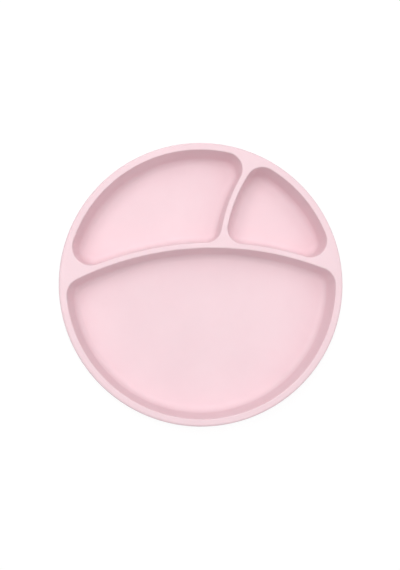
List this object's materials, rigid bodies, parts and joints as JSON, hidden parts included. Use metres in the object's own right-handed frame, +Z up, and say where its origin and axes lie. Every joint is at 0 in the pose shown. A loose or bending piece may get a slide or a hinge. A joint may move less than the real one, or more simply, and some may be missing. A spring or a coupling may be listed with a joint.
{
  "type": "baby suction plate",
  "caption": "Round divided plate of soft silicone with drafted compartments, arched ribs, a flat rim and a suction ring with a release tab underneath.",
  "frame": {"origin": "on the table under the middle of the plate, level with the suction ring's lip", "axes": "+Z up out of the compartments; +Y from the large compartment towards the two small ones; +X to the right, towards the smallest compartment"},
  "size_m": [0.2, 0.2, 0.028],
  "materials": {
    "silicone": "soft matt silicone, pale pink through and through"
  },
  "bodies": {
    "root": {"plate": "silicone"}
  },
  "joints": []
}
